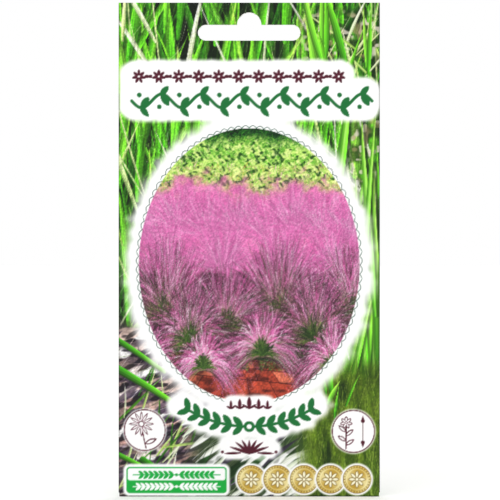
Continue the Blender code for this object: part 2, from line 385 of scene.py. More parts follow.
def fine_lines(page, rng, count, zone, length, lean, tones, weight):
    """Hair-thin blades with little bend, sprayed as strings of dots."""
    t = np.linspace(0, 1, 150)[None, :]
    x, d, angle, reach = strewn(rng, count, zone, length, lean)
    bend = rng.normal(0, 0.12, (count, 1))
    x = x + reach * (np.sin(angle) * t + bend * t * t)
    d = d - reach * np.cos(angle) * t
    colours = picked(rng, tones, count)
    spray(page, x, d, colours, weight * rng.uniform(0.4, 1.2, (count, 1)) * (1 - t**4))


print("grass strokes: blades and fine lines")


# %% Grass ground
def between(low, high, feather, value):
    rising = smooth_step(low - feather, low + feather, value)
    return rising * (1 - smooth_step(high - feather, high + feather, value))


def zone_cover(x_low, x_high, d_low, d_high, feather):
    return between(x_low, x_high, feather, PAGE_X) * between(d_low, d_high, feather, PAGE_D)


DEEP_SHADE = (("#0E2109", "#173A10"), ("#142A0C", "#24500F"), ("#0A1A08", "#1B3F12"))
MID_GREEN = (("#235A12", "#3F8F1C"), ("#2E6E16", "#55A824"), ("#1E5212", "#4C9A22"), ("#3A7A18", "#6DB62E"))
BRIGHT_GREEN = (
    ("#4C9E1E", "#8FDD3C"), ("#56B020", "#7ED032"), ("#63BE28", "#B4EE5E"), ("#3F9418", "#86D438")
)
STRAW = (("#B9D982", "#F4FAD8"), ("#D8E8B0", "#FFFFF2"), ("#C6D88E", "#F2F4C8"), ("#A8CC60", "#E8F6B8"))
LAWN = (-44, 44, 8, 165)
GLINTS = 5000


def paint_grass(page, rng):
    dark_blades, mixed_blades = DEEP_SHADE + MID_GREEN, MID_GREEN + BRIGHT_GREEN
    dapple(page, rng, 0.75, "#2F6A14", 0.35, 0.8, 9.0)
    dapple(page, rng, 0.7, "#060D05", 0.55, 0.85, 6.0)
    blade_bed(page, rng, 320, LAWN, (18, 46), (2, 17), (0.3, 0.8), dark_blades, 0.2, 0.9)
    fine_lines(page, rng, 900, LAWN, (8, 30), (4, 22), "#0C1A08 #3E7A1C #8CC84A #16300E", 0.6)
    blade_bed(page, rng, 300, LAWN, (16, 50), (4, 14), (0.35, 1.0), dark_blades, 0.3, 0.95)
    dapple(page, rng, 0.75, "#081206", 0.60, 0.85, 3.0, 9.0, 0.12)
    blade_bed(page, rng, 210, LAWN, (18, 52), (5, 12), (0.35, 1.15), mixed_blades, 0.35)
    fine_lines(page, rng, 700, LAWN, (8, 34), (4, 18), "#D8F0A0 #1C3A10 #A8DC5C #F2F8D8", 0.5)
    blade_bed(page, rng, 120, LAWN, (22, 60), (4, 10), (0.5, 1.6), BRIGHT_GREEN, 0.4)
    blade_bed(page, rng, 50, LAWN, (20, 50), (-14, 20), (0.12, 0.35), STRAW, 0.15, 0.9)
    blade_bed(page, rng, 26, LAWN, (20, 45), (-22, 12), (0.3, 0.75), STRAW, 0.25, 0.95)
    fine_lines(page, rng, 260, LAWN, (6, 24), (6, 34), "#F6FAE0 #FFFFFF #E4F2B8", 0.5)
    grain(page, rng, (0.42, 0.30, 5.0, 0.10), (0.30, 0.35))
    glints = rng.random((GLINTS, 2)) * (WIDTH, HEIGHT) - (WIDTH / 2, 0)
    spray(page, glints[:, 0], glints[:, 1], "#F4FFD8", rng.uniform(0.1, 1.4, GLINTS))


def paint_dry_stalks(page, rng):
    """A tangle of bleached stalks and pale seed heads in shade, near the right-hand edge."""
    for low, high, top, foot in ((16, 42, 3, 18), (30, 42, 34, 70)):
        shade = zone_cover(low, high + 20, top, foot, 3.0)
        dapple(page, rng, 0.6 * shade, "#10180C", 0.3, 0.7, 2.5)
        dapple(page, rng, 0.8 * shade, "#E9DED2", 0.68, 0.82, 1.3)
        dapple(page, rng, 0.6 * shade, "#B7A27C", 0.66, 0.84, 1.8)
        stalks, blades = (low, high, foot - 6, foot + 10), (low, high, foot - 2, foot + 14)
        blade_bed(page, rng, 16, stalks, (10, 26), (-6, 34), (0.12, 0.45), STRAW, 0.2)
        blade_bed(page, rng, 9, blades, (18, 34), (3, 10), (0.5, 1.2), BRIGHT_GREEN, 0.4)


front_page = new_page("#12240B")
grass_rng = np.random.default_rng(11)
paint_grass(front_page, grass_rng)
paint_dry_stalks(front_page, grass_rng)
print("grass: mean colour", np.round(front_page.mean((0, 1)), 2))

# %% [markdown]
# ## Stones, striped leaves and broad blades
#
# The lower corners of the ground change: pale stones with violet shade on the left, striped leaves in the
# middle, deep olive water weed on the right, and a stand of broad blades up the right-hand side. Each is a
# soft wash for its mass and a few strokes for its edges.

# %% Stones
PEBBLES = "#E2C6BB #D3B3A8 #F6EAE4 #C79E96 #EFE2DE #FFFFFF"
HOLLOWS = "#3E3446 #5A4A5C #221C28 #756474 #2A2424"


def paint_stones(page, rng):
    ground = zone_cover(-60, 0, 100, 170, 5.0)
    wash(page, "#8E7672", ground)
    dapple(page, rng, ground, "#4E4450", 0.40, 0.75, 4.0)
    for _ in range(60):
        root = (rng.uniform(-44, -2), rng.uniform(102, 154))
        line = blade_line(root, rng.uniform(5, 13), rng.normal(74, 9), 0.02, 5)
        tone = picked(rng, PEBBLES, 1)[0, 0]
        stroke(page, line, [0.8, 1.5, 1.9, 1.5, 0.7], tone, tone * 0.92, 0.16, 0.9, 2.5, 0.05)
    for _ in range(110):
        root = (rng.uniform(-46, -2), rng.uniform(102, 156))
        line = blade_line(root, rng.uniform(4, 13), rng.normal(62, 12), 0.05, 6)
        tone = picked(rng, HOLLOWS, 1)[0, 0]
        stroke(page, line, [0.1, 0.5, 0.75, 0.65, 0.35, 0.05], tone, opacity=0.8, soft=2.0)
    dapple(page, rng, 0.80 * ground, "#16121A", 0.62, 0.78, 3.0, 1.5, 0.6)
    hairs = "#FFFFFF #F2DCD2 #3A3340 #5E7A34"
    fine_lines(page, rng, 160, (-46, 0, 104, 158), (5, 16), (58, 16), hairs, 0.45)
    grain(page, rng, (0.34, 0.4), (0.3, 1.4), where=ground)
    mixed = MID_GREEN + STRAW
    blade_bed(page, rng, 30, (-44, -12, 118, 156), (8, 22), (30, 26), (0.1, 0.35), mixed, 0.2, 0.9)
    for x, d, length, lean, half in (
        (-24, 122, 22, -57, 1.0), (-26, 113, 20, -54, 0.75),
        (-13, 155, 24, -50, 0.8), (-31, 143, 14, -62, 0.7),
    ):
        line = blade_line((x, d), length, lean, -0.05, 8)
        stroke(page, line + (0.5, 0.9), np.linspace(half, 1.4 * half, 8), "#2A2233", opacity=0.5, soft=5)
        stroke(page, line, np.linspace(0.8 * half, 1.35 * half, 8), "#6FC22E", "#2F7A16", 0.5, veins=0.1)


corner_rng = np.random.default_rng(23)
paint_stones(front_page, corner_rng)
print("stones painted")

# %% Striped leaves
STRIPES = "#F3F6EE #FFFFFF #2C5A26 #1B3A18 #E6EFD9 #FBFFF2 #3A3444"


def paint_striped_leaves(page, rng):
    ground = zone_cover(-17, 24, 122, 170, 4.0)
    wash(page, "#3E5234", ground * 0.9)
    for _ in range(95):
        root = (rng.uniform(-24, 22), rng.uniform(126, 160))
        tone = picked(rng, STRIPES, 1)[0, 0]
        line = blade_line(root, rng.uniform(9, 22), rng.normal(50, 8), 0.10, 7)
        halves = [0.2, 0.6, 0.85, 0.85, 0.65, 0.35, 0.05]
        stroke(page, line, halves, tone, lit=0.15, opacity=0.95, soft=1.4, veins=0.06)
    dapple(page, rng, 0.30 * ground, "#141E12", 0.66, 0.82, 2.6, 1.6, 0.6)
    fine_lines(page, rng, 120, (-22, 22, 124, 158), (5, 14), (48, 12), "#FFFFFF #16280F #DDE8C8", 0.5)


paint_striped_leaves(front_page, corner_rng)
print("striped leaves painted")


# %% Broad blades
def paint_broad_blades(page):
    wash(page, "#0E1C0A", 0.65 * zone_cover(32, 60, 62, 116, 4.0))
    t = np.linspace(0, 1, 14)
    taper = (1 - t**2.2) * (0.75 + 0.35 * np.sin(3 * t)) * np.minimum(1, 0.35 + 4 * t)
    for x, d, length, lean, half in (
        (38.0, 132, 84, -1, 1.9), (33.5, 128, 52, 4, 2.3), (40.5, 124, 66, -3, 1.6), (29.0, 126, 30, 9, 1.5),
        (36.0, 122, 70, -4, 1.4), (41.0, 136, 96, -1, 1.5), (30.5, 120, 34, 12, 1.0), (38.5, 96, 62, -5, 1.2),
        (34.5, 92, 60, 3, 0.9), (27.0, 58, 34, 6, 1.5),
    ):
        line = blade_line((x, d), length, lean, 0.02, 14)
        halves = half * taper + 0.03
        stroke(page, line + (0.8, 0), halves, "#14290C", opacity=0.5, soft=6)
        stroke(page, line, halves, "#57B622", "#A2E852", 0.35, veins=0.09)
        stroke(page, line + (half * 0.25, 0), halves * 0.22, "#B4F06E", "#DDFCA6", 0.0, 0.7, 2.5)
        stroke(page, line - (half * 0.45, 0), halves * 0.14, "#2C7A12", "#4E9C20", 0.0, 0.7, 2.0)


paint_broad_blades(front_page)
print("broad blades painted")

# %% Olive weed
WEEDS = "#6E8A22 #2A4410 #8FA83C #54701A #B4C86C #3E5A12"


def paint_olive_weed(page, rng):
    ground = zone_cover(17, 60, 112, 170, 4.0)
    wash(page, "#44600F", ground)
    dapple(page, rng, ground, "#233A0C", 0.4, 0.8, 4.0, 7.0)
    dapple(page, rng, 0.7 * ground, "#7C9828", 0.5, 0.85, 2.0, 5.0)
    fine_lines(page, rng, 900, (15, 44, 116, 166), (5, 18), (2, 12), WEEDS, 0.5)
    grain(page, rng, (0.3, 0.45), (0.3, 1.5, 4.0), where=ground)
    blade_bed(page, rng, 14, (14, 30, 118, 128), (6, 14), (8, 16), (0.3, 0.8), BRIGHT_GREEN, 0.4)


paint_olive_weed(front_page, corner_rng)
print("olive weed painted")

# %% [markdown]
# ## White glows
#
# The title band and the rim of the window are knocked out of the grass with a soft white edge, so that the
# pattern on top reads clearly. A glow is a distance from a shape turned into cover.

# %% Glows
WHITE = "#FFFFFF"
OVAL_D, OVAL_A, OVAL_B = 80.4, 33.8, 41.9
ARC_RADIUS, ARC_MIDDLE, ARC_HALF_ANGLE = 36.5, 129.8, math.radians(34)
ARC_CENTRE_D = ARC_MIDDLE - ARC_RADIUS


def box_distance(x_low, x_high, d_low, d_high, radius):
    dx = np.abs(PAGE_X - (x_low + x_high) / 2) - ((x_high - x_low) / 2 - radius)
    dd = np.abs(PAGE_D - (d_low + d_high) / 2) - ((d_high - d_low) / 2 - radius)
    outside = np.hypot(np.maximum(dx, 0), np.maximum(dd, 0))
    return outside + np.minimum(np.maximum(dx, dd), 0) - radius


def window_distance():
    """Distance from the rim of the oval window, negative inside it."""
    d = PAGE_D - OVAL_D
    share = np.hypot(PAGE_X / OVAL_A, d / OVAL_B)
    slope = np.hypot(PAGE_X / OVAL_A**2, d / OVAL_B**2) / np.maximum(share, 1e-6)
    return (share - 1) / np.maximum(slope, 1e-6)


def arc_distance(centre_d, radius, half_angle):
    """Distance from an arc of a circle that hangs below its centre."""
    d = PAGE_D - centre_d
    angle = np.clip(np.arctan2(PAGE_X, d), -half_angle, half_angle)
    return np.hypot(PAGE_X - radius * np.sin(angle), d - radius * np.cos(angle))


def glow(page, distance, solid, fade):
    wash(page, WHITE, 1 - smooth_step(solid, solid + fade, distance))


glow_rng = np.random.default_rng(5)
ragged = 1.6 * (cloud(glow_rng, 2.2) - 0.5)
oval = window_distance()
band = np.minimum(box_distance(-38.8, 31.5, 18.4, 35.4, 4.0), box_distance(10, 39.4, 23.6, 35.4, 4.0))
for shape, solid, fade in (
    (band + 0.35 * ragged, 0.2, 1.6),
    (oval + ragged, 2.2, 4.6),
    (box_distance(-10, 10, 33, 42, 2.0), 0.0, 4.0),
    (arc_distance(ARC_CENTRE_D, ARC_RADIUS, ARC_HALF_ANGLE) + ragged, 3.4, 2.6),
    (box_distance(-8.2, 8.2, 134.0, 138.2, 2.0) + ragged, 0.6, 2.0),
):
    glow(front_page, shape, solid, fade)
print("glows laid")

# %% [markdown]
# ## The window: pink plume grass in a garden
#
# The picture in the oval window is a garden border of the plume grass inside the packet. Its flower heads are
# so fine that they read as pink mist with bright hairs in it, so they are sprayed: each clump is thousands of
# strands that fan out from one point, and every strand is a string of dots.

# %% Hedge
WINDOW_LOW, WINDOW_HIGH = -34, 34


def dabs(page, rng, count, zone, length, tones, weight, lean=(0, 90)):
    """Small leaves or flecks: short sprayed lines, thick in the middle."""
    t = np.linspace(-1, 1, 9)[None, :]
    x, d, angle, reach = strewn(rng, count, zone, length, lean)
    colours = picked(rng, tones, count) * rng.uniform(0.8, 1.15, (count, 1, 1))
    along = reach / 2 * t
    spray(page, x + along * np.sin(angle), d - along * np.cos(angle), colours, weight * (1 - 0.6 * t * t))


def across(top, foot):
    return (WINDOW_LOW, WINDOW_HIGH, top, foot)


def paint_hedge(page, rng):
    """A clipped hedge in sun, going yellow where the first plumes rise in front of it."""
    wash(page, "#15401C", 1 - smooth_step(58, 64, PAGE_D))
    dapple(page, rng, 0.8 * (1 - smooth_step(48, 56, PAGE_D)), "#0A2410", 0.5, 0.8, 5.0)
    sunny = smooth_step(40.5, 45, PAGE_D + 5 * (cloud(rng, 4.0) - 0.5))
    wash(page, "#8ED048", 0.85 * sunny)
    for top, foot, count, tones in (
        (37, 47, 2600, "#0F3A1C #1F6A22 #3C9A2C #5CC034"),
        (41, 57, 5200, "#8CE04C #B8EE6A #D6F07A #6CC83C #3A8A28 #A4E85C"),
        (43, 57, 3000, "#E0FF90 #C2F870 #F8FFB8 #94E850 #246020"),
        (50, 62, 6000, "#E8E48C #ACD850 #F4E8A0 #D0B068 #C0E868 #F4A8D0 #C87898"),
    ):
        dabs(page, rng, count, across(top, foot), (0.5, 1.9), tones, 0.95)
    leafy = sunny * (1 - smooth_step(56, 62, PAGE_D))
    for tone, low, high in (("#D8F488", 0.46, 0.70), ("#F0FFA4", 0.52, 0.72), ("#1E4A18", 0.58, 0.74)):
        spots = (cloud(rng, 1.2, 0.9, 0.8) + cloud(rng, 0.7, 1.1, -0.6)) / 2
        wash(page, tone, 0.85 * leafy * smooth_step(low, high, spots))
    dabs(page, rng, 1100, across(42, 58), (0.6, 1.6), "#F6FFB4 #C8F070 #FFFFD0 #58A830", 1.0)
    stems = "#DCE88A #7FD63C #D7B25A #F0C0C8"
    fine_lines(page, rng, 260, across(50, 64), (1.5, 5), (0, 32), stems, 0.4)


window = new_page("#2A3A20")
window_rng = np.random.default_rng(37)
paint_hedge(window, window_rng)
print("hedge painted")

# %% Plume grass strands
MIST = "#FA8CCE #F478C0 #E462B0 #FFB0DE #F884C8 #D658A4"
DUSK = "#A8508A #8E4478 #B8629A #6E3A5E"
HAIRS = "#FBDDF0 #F4BCE0 #FFF0F8 #E9A0CE"
SHADES = "#241420 #1E2614 #46283C #3A4622"
OLIVES = "#4A5A2C #7A8446 #2E3620 #98985E #5A3A4C #B4A878"
LEAFY = "#2C4A24 #55782F #1C3018 #7F9A4A #3A5A2A"


def strands(page, rng, centre, count, reach, spread, droop, tones, weights, scatter):
    """A fan of fine strands. Weights are at the root, at the tip and the power between; scatter loosens."""
    t = np.linspace(0.04, 1, 130)[None, :]
    angle = np.clip(rng.normal(0, 0.55 * spread, (count, 1)), -spread, spread)
    length = reach * rng.uniform(0.45, 1.0, (count, 1)) * (1 - 0.10 * np.abs(angle))
    sag = droop * rng.uniform(0.5, 1.3, (count, 1))
    x = centre[0] + rng.normal(0, 0.06 * reach, (count, 1)) * (1 - 0.5 * t) + length * np.sin(angle) * t
    d = centre[1] + rng.normal(0, 0.02 * reach, (count, 1)) - length * np.cos(angle) * t
    d = d + sag * length * (0.12 + np.abs(np.sin(angle))) * t**2.4
    wave = 0.22 * np.sin(9 * t + rng.uniform(0, 6, (count, 1)))
    colours = picked(rng, tones, count) * rng.uniform(0.86, 1.1, (count, 1, 1))
    x = x + wave + rng.normal(0, scatter, x.shape) * (0.3 + t)
    d = d + wave * 0.5 + rng.normal(0, scatter, d.shape) * (0.3 + t)
    at_root, at_tip, power = weights
    spray(page, x, d, colours, at_root + (at_tip - at_root) * t**power)


print("strand palettes: mist, dusk, hairs, shades, olives and leafy")


# %% One clump
def paint_clump(page, rng, centre, reach, spread, droop, core):
    """One plant: a leafy foot, olive stems, then mauve, pink and pale flower heads outward."""
    away = np.hypot((PAGE_X - centre[0]) / 1.5, PAGE_D - centre[1] + 0.18 * reach)
    wash(page, "#20241A", core * (1 - smooth_step(0.04 * reach, 0.42 * reach, away)))
    for count, share, tones, weights, scatter in (
        (620, 0.97, DUSK, (0, 0.30, 0.9), 0.20),
        (560, 1.00, MIST, (0, 0.22, 2.4), 0.40),
        (640, 0.98, SHADES, (0.75, 0.375, 1), 0.06),
        (460, 0.80, OLIVES, (0.75, 0, 1), 0.05),
        (330, 1.00, MIST, (0, 0.85, 2.0), 0.10),
        (130, 1.02, HAIRS, (0, 0.85, 1.5), 0.07),
    ):
        strands(page, rng, centre, count, share * reach, spread, droop, tones, weights, scatter)
    strands(page, rng, centre, 150, 0.36 * reach, 1.2, 0.5, LEAFY, (0.8, 0.4, 1), 0.03)


print("a clump is painted in seven layers of strands")

# %% Far mist
FAR_PLANTS = (
    (-30, 74), (-21, 71), (-12, 73), (-3, 72), (6, 74), (14, 71), (23, 73), (32, 75),
    (-25, 84), (-8, 83), (10, 84), (26, 84),
)


def paint_far_mist(page, rng):
    """Plants further off run together into a bank of pink with a ragged top."""
    crest = 57.5 - 4.5 * np.exp(-(((PAGE_X + 15) / 11) ** 2)) - 3.0 * np.exp(-(((PAGE_X - 17) / 10) ** 2))
    bank = smooth_step(-2.5, 5.0, PAGE_D - crest + 7 * (cloud(rng, 3.0) - 0.5) + 3 * (cloud(rng, 0.9) - 0.5))
    wash(page, "#F684C6", 0.92 * bank)
    dapple(page, rng, 0.45 * bank, "#B04C90", 0.3, 0.9, 2.2, 3.5)
    dapple(page, rng, 0.6 * bank, "#FAA8D8", 0.4, 0.9, 1.6, 2.6)
    wash(page, "#1E1418", 0.97 * smooth_step(74, 90, PAGE_D + 8 * (cloud(rng, 3.0) - 0.5)) * bank)
    for centre in FAR_PLANTS:
        for count, reach, tones, weight, scatter in (
            (1300, 19, MIST, 0.24, 0.40), (300, 19, DUSK, 0.24, 0.15), (150, 20, HAIRS, 0.34, 0.12),
        ):
            strands(page, rng, centre, count, reach, 1.1, 0.3, tones, (0, weight, 1), scatter)


paint_far_mist(window, window_rng)
print("far plants:", len(FAR_PLANTS))


# %% Terrace
def paint_terrace(page, rng):
    """Terracotta paving across the foot of the border, seen at a slant."""
    slant, horizon, courses, tile_width = 0.10, 98, 70, 2.6
    ground = smooth_step(109.0, 109.6, PAGE_D - slant * PAGE_X)
    wash(page, "#1E2414", smooth_step(96, 104, PAGE_D) * (1 - ground))
    wash(page, "#B84E38", ground)
    depth = np.maximum(PAGE_D - slant * PAGE_X - horizon, 1.0)
    row_place = courses / depth
    course = np.floor(row_place)
    along = PAGE_X / depth * tile_width + 0.5 * (course % 2) + 0.15 * row_place
    # A usual hash of two whole numbers gives each tile its own tone from 0 to 1.
    tone = (np.sin(course * 12.9898 + np.floor(along) * 78.233) * 43758.5453) % 1.0
    wash(page, "#E08468", ground * 0.75 * smooth_step(0.45, 0.9, tone))
    wash(page, "#8A3A34", ground * 0.65 * (1 - smooth_step(0.05, 0.4, tone)))
    row_gap = np.minimum(row_place % 1.0, 1 - row_place % 1.0) * depth**2 / courses
    end_gap = np.minimum(along % 1.0, 1 - along % 1.0) * depth / tile_width
    wash(page, "#4A1E1E", 0.85 * ground * (1 - smooth_step(0.06, 0.22, np.minimum(row_gap, end_gap))))
    wash(page, "#3A1614", 0.6 * ground * (1 - smooth_step(0.25, 0.6, cloud(rng, 2.5, 1.2))))
    grain(page, rng, (0.36, 0.4), (0.2, 2.0), where=ground)


paint_terrace(window, window_rng)
print("terrace painted")

# %% Clumps in front
UNDERGROWTH = "#2C6A2A #12281A #5CA83C #3A2A30 #1C4420 #86C85A"
REAR_CLUMPS = (
    ((-25, 98), 30, 1.15, 0.40, 0.4), ((31, 97), 27, 1.15, 0.45, 0.4), ((9, 97), 30, 1.2, 0.40, 0.5),
    ((-7, 101), 25, 1.25, 0.50, 0.5), ((-18, 105), 24, 1.45, 0.65, 0.6), ((20, 104), 27, 1.4, 0.60, 0.6),
)
NEAR_CLUMPS = (
    ((4, 108), 19, 1.55, 0.75, 0.5), ((-32, 112), 17, 1.35, 0.7, 0.4), ((-14, 112), 15, 1.6, 0.90, 0.5),
    ((26, 112), 18, 1.6, 0.8, 0.4),
)
dabs(window, window_rng, 2200, across(98, 111), (0.4, 1.3), UNDERGROWTH, 0.85)
for clump in REAR_CLUMPS:
    paint_clump(window, window_rng, *clump)
dabs(window, window_rng, 2600, across(86, 106), (1.5, 4.5), "#1C1416 #2A1C24 #202616", 0.75, (0, 40))
for x, d in ((-26, 109), (-7, 110), (10, 110), (29, 108)):
    dabs(window, window_rng, 620, (x - 7, x + 7, d - 3.5, d + 2.5), (0.5, 1.6), UNDERGROWTH, 0.9)
for clump in NEAR_CLUMPS:
    paint_clump(window, window_rng, *clump)
grain(window, window_rng, (0.22, 0.3))
fill(front_page, window, oval)
print("clumps painted:", len(REAR_CLUMPS) + len(NEAR_CLUMPS))

# %% [markdown]
# ## Scalloped rim
#
# A green hairline of small arcs runs round the window. It is drawn as dots along the rim, pushed outward in
# each arc. Real hairlines are printed at about 0.2 mm.

# %% Scalloped rim
SCALLOPS = 96
angle = np.linspace(0, 2 * math.pi, 16000)
bump = 0.10 + 0.72 * np.abs(np.sin(angle * SCALLOPS / 2))
rim_x = (OVAL_A + bump) * np.sin(angle)
rim_d = OVAL_D + (OVAL_B + bump) * np.cos(angle)
spray(front_page, rim_x, rim_d, "#1C4A38", 0.55)
glow(front_page, box_distance(-7.0, 7.0, 121.2, 127.0, 1.4) + 0.3 * ragged, 0.4, 1.4)
print("rim:", SCALLOPS, "arcs")

# %% [markdown]
# ## Leaf ornaments
#
# Where a packet carries its words, this one carries old border ornaments: a row of daisies, a running vine
# and a garland. They are drawn with the same brush as the blades. A leaf is a short stroke that is widest at
# its middle.

# %% Leaves, discs and rings
GREEN_INK, MAROON_INK = "#1F7A3F", "#5A1A2E"


def leaf(page, root, length, angle_deg, half_width, colour, bend=0.0):
    """A leaf that grows from root, angle_deg from upright, widest at its middle."""
    halves = half_width * np.sin(math.pi * np.linspace(0.06, 0.98, 7)) ** 0.75
    stroke(page, blade_line(root, length, angle_deg, bend, 7), halves, colour)


def distance_from(x, d):
    return np.hypot(PAGE_X - x, PAGE_D - d)


def disc(page, x, d, radius, colour):
    fill(page, colour, distance_from(x, d) - radius)


def ring(page, x, d, radius, half_line, colour):
    fill(page, colour, np.abs(distance_from(x, d) - radius) - half_line)


def petal_ring(page, x, d, petals, inner, length, half_width, colour, lined=False):
    """Petals round a point, each with a white middle where lined."""
    for k in range(petals):
        turn = 360 * k / petals
        root = (x + inner * math.sin(math.radians(turn)), d - inner * math.cos(math.radians(turn)))
        leaf(page, root, length, turn, half_width, colour)
        if lined:
            leaf(page, root, length * 0.82, turn, half_width * 0.55, WHITE)


print("inks:", GREEN_INK, MAROON_INK)


# %% Borders
def vine(page, x_low, x_high, d, height, colour):
    """A running stem with a pair of leaves on the outside of every turn."""
    turns = 12
    pitch = (x_high - x_low) / turns
    x = np.linspace(x_low, x_high, 240)
    line = np.stack([x, d + 0.30 * height * np.sin((x - x_low) / pitch * math.pi)], -1)
    stroke(page, line, 0.48, colour)
    for k in range(turns):
        middle = x_low + (k + 0.5) * pitch
        up = -1 if k % 2 else 1
        peak = d + up * 0.30 * height
        leaf(page, (middle + 0.1, peak), 0.52 * height, 90 - up * 64, 1.10, colour, 0.12)
        leaf(page, (middle - 0.3, peak - up * 0.4), 0.50 * height, 90 + up * 56, 0.95, colour, 0.12)
        disc(page, middle - 0.12 * pitch, d - up * 0.26 * height, 0.72, colour)


def daisy_row(page, x_low, x_high, d, height, colour, pitch):
    """Daisies on a thread, with a pair of lying leaves between them: a plain printer's border."""
    stroke(page, [(x_low, d), (x_high, d)], 0.16, colour)
    count = round((x_high - x_low) / pitch)
    for k in range(count + 1):
        x = x_low + (x_high - x_low) * k / count
        disc(page, x, d, 0.50 * height, WHITE)
        petal_ring(page, x, d, 7, 0.10 * height, 0.40 * height, 0.11 * height, colour)
        disc(page, x, d, 0.16 * height, colour)
        disc(page, x, d, 0.08 * height, WHITE)
        if k < count:
            for heading in (90, -90):
                leaf(page, (x + pitch / 2, d), 0.20 * pitch, heading, 0.13 * height, colour)


def laurel_row(page, x_low, x_high, d, length, colour):
    """Small leaves in slanting pairs on a stem, growing outward from a dot in the middle."""
    middle = (x_low + x_high) / 2
    stroke(page, [(x_low, d), (x_high, d)], 0.14, colour)
    disc(page, middle, d, 0.45, colour)
    pairs = int((x_high - middle - 1.2) / (0.8 * length))
    for k in range(pairs):
        for side in (-1, 1):
            root = (middle + side * (1.0 + 0.8 * length * k), d)
            for tilt in (52, 128):
                leaf(page, root, length, side * tilt, 0.24 * length, colour)


def garland(page, centre_d, radius, half_angle, colour):
    """Pairs of leaves on a hanging arc, growing away from the middle."""
    sweep = np.linspace(-half_angle, half_angle, 60)
    arc = np.stack([radius * np.sin(sweep), centre_d + radius * np.cos(sweep)], -1)
    stroke(page, arc, 0.42, colour)
    pairs = 6
    for k in range(-pairs, pairs + 1):
        if k == 0:
            continue
        side = math.copysign(1, k)
        swing = half_angle * (abs(k) - 0.35) / pairs * side
        root = (radius * math.sin(swing), centre_d + radius * math.cos(swing))
        heading = 90 * side - math.degrees(swing)
        leaf(page, root, 3.9, heading - 46 * side, 1.0, colour)
        leaf(page, root, 3.7, heading + 46 * side, 0.95, colour)
    disc(page, 0.0, centre_d + radius, 1.7, colour)
    disc(page, 0.0, centre_d + radius, 0.75, WHITE)


print("borders: vine, daisy row, laurel row and garland")

# %% Draw the ornaments
daisy_row(front_page, -33.8, 27.4, 22.6, 4.2, MAROON_INK, 6.1)
vine(front_page, -36.0, 37.6, 30.1, 7.0, GREEN_INK)
garland(front_page, ARC_CENTRE_D, ARC_RADIUS, ARC_HALF_ANGLE - 0.03, GREEN_INK)
for offset, size in ((-5.6, 0.75), (-2.9, 1.0), (0.0, 1.3), (2.9, 1.0), (5.6, 0.75)):
    leaf(front_page, (offset, 124.2), 2 * size + 0.9, 0, 0.42 * size + 0.12, MAROON_INK)
    for lean in (58, -58):
        leaf(front_page, (offset, 124.3), 2.0 * size, lean, 0.34, MAROON_INK)
for lean in (-66, -44, -22, 0, 22, 44, 66):
    leaf(front_page, (0.0, 138.2), 4.2 + abs(lean) / 40, lean, 0.46, MAROON_INK, 0.10 * np.sign(lean))
for side in (-1, 1):
    leaf(front_page, (side * 2.6, 137.9), 5.0, side * 92, 0.40, MAROON_INK)
    disc(front_page, side * 8.2, 137.6, 0.45, MAROON_INK)
print("ornaments drawn")

# %% [markdown]
# ## Badges, plate and seals
#
# Two round badges carry line drawings, a perennial flower on the left and a growing height on the right.
# A plate with two laurel rows and a row of gold seals fill the foot. The gold is printed, not foil: yellows
# and browns in rings.


# %% Badges
def badge(page, x, d, radius):
    glow(page, distance_from(x, d), radius, 0.9)
    disc(page, x, d, radius, WHITE)
    ring(page, x, d, radius, 0.16, MAROON_INK)


badge(front_page, -32.0, 130.9, 6.25)
petal_ring(front_page, -33.0, 129.0, 12, 0.9, 2.9, 0.42, MAROON_INK, True)
ring(front_page, -33.0, 129.0, 0.8, 0.13, MAROON_INK)
stroke(front_page, blade_line((-31.6, 136.4), 5.0, -14, 0.05, 6), 0.17, MAROON_INK)
leaf(front_page, (-31.7, 135.0), 3.6, 66, 0.75, MAROON_INK)
leaf(front_page, (-31.4, 134.9), 2.6, 66, 0.42, WHITE)

PLANT_X, ARROW_X = 29.6, 34.8
badge(front_page, 31.9, 131.3, 6.45)
stroke(front_page, blade_line((PLANT_X, 136.6), 7.4, 0.0, 0.02, 6), 0.2, MAROON_INK)
for root_d, lean in ((135.4, 58), (134.2, -58), (132.6, 50), (131.4, -50)):
    leaf(front_page, (PLANT_X, root_d), 2.9, lean, 0.62, MAROON_INK)
    leaf(front_page, (PLANT_X + 0.3 * math.copysign(1, lean), root_d - 0.2), 2.1, lean, 0.32, WHITE)
petal_ring(front_page, PLANT_X + 0.1, 128.6, 7, 0.35, 1.5, 0.5, MAROON_INK, True)
stroke(front_page, [(ARROW_X, 127.6), (ARROW_X, 135.2)], 0.11, MAROON_INK)
for d, way in ((126.6, 1), (136.2, -1)):
    stroke(front_page, [(ARROW_X, d), (ARROW_X, d + way * 1.5)], [0.05, 0.62], MAROON_INK)
print("badges drawn")

# %% Plate and seals
PLATE_GREEN = "#1DB24B"
GOLDS = ("#8A6E2A", "#F0DC8C", "#C8A648", "#FBF3C4", "#DCBE62", "#FFFBE0")
SEALS, SEAL_PITCH = 5, 8.1
plate = box_distance(-37.6, -6.9, 142.2, 150.2, 1.0)
glow(front_page, plate, 0.5, 0.9)
fill(front_page, PLATE_GREEN, plate)
fill(front_page, WHITE, box_distance(-37.2, -7.3, 142.6, 146.3, 0.7))
laurel_row(front_page, -35.6, -8.9, 144.6, 1.9, PLATE_GREEN)
laurel_row(front_page, -35.6, -8.9, 148.2, 1.8, WHITE)


